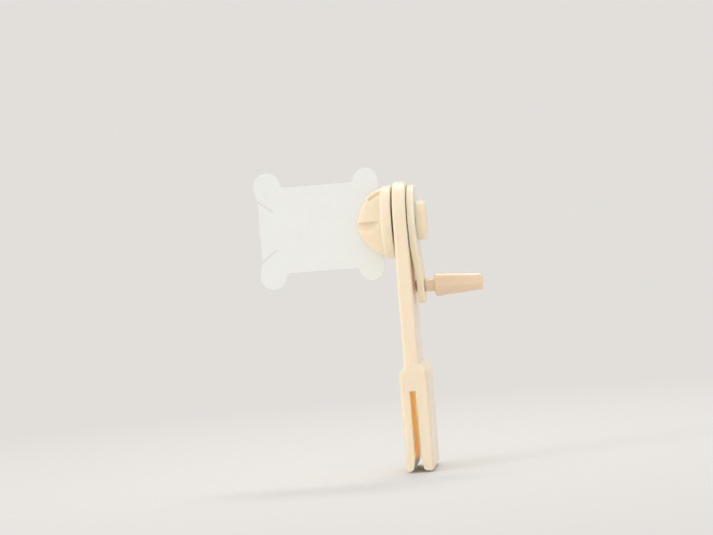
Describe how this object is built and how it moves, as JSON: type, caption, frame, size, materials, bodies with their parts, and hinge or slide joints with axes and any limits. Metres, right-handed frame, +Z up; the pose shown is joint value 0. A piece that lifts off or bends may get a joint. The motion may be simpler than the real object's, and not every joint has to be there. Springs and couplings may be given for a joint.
{
  "type": "floss bobbin winder",
  "caption": "Hand-cranked thread winder with a forked foot for a box edge, a round bearing head, a crank with a turning knob, and dished jaws that grip a flat bobbin card.",
  "frame": {"origin": "middle of the closed end of the fork's slot, where the edge of a box bottoms out", "axes": "+X along the axle towards the crank, +Z up the upright, +Y from front to back across the blade"},
  "size_m": [0.0661, 0.0238, 0.0906],
  "materials": {
    "cream_plastic": "satin moulded",
    "white_card": "smooth uncoated"
  },
  "bodies": {
    "stand": {"upright": "cream_plastic"},
    "rotor": {"bobbin_holder": "cream_plastic", "crank_arm": "cream_plastic", "hub_cap": "cream_plastic"},
    "knob": {"crank_knob": "cream_plastic"},
    "bobbin": {"card_bobbin": "white_card"}
  },
  "joints": [
    {"name": "crank_turn", "type": "hinge", "parent": "stand", "child": "rotor", "pos_m": [0, 0, 0.0497], "axis": [1, 0, 0], "continuous": true},
    {"name": "knob_spin", "type": "hinge", "parent": "rotor", "child": "knob", "pos_m": [0.00415, 0, 0.0302], "axis": [1, 0, 0], "continuous": true},
    {"name": "bobbin_pull", "type": "slide", "parent": "rotor", "child": "bobbin", "axis": [-1, 0, 0], "range_m": [0, 0.012]}
  ]
}
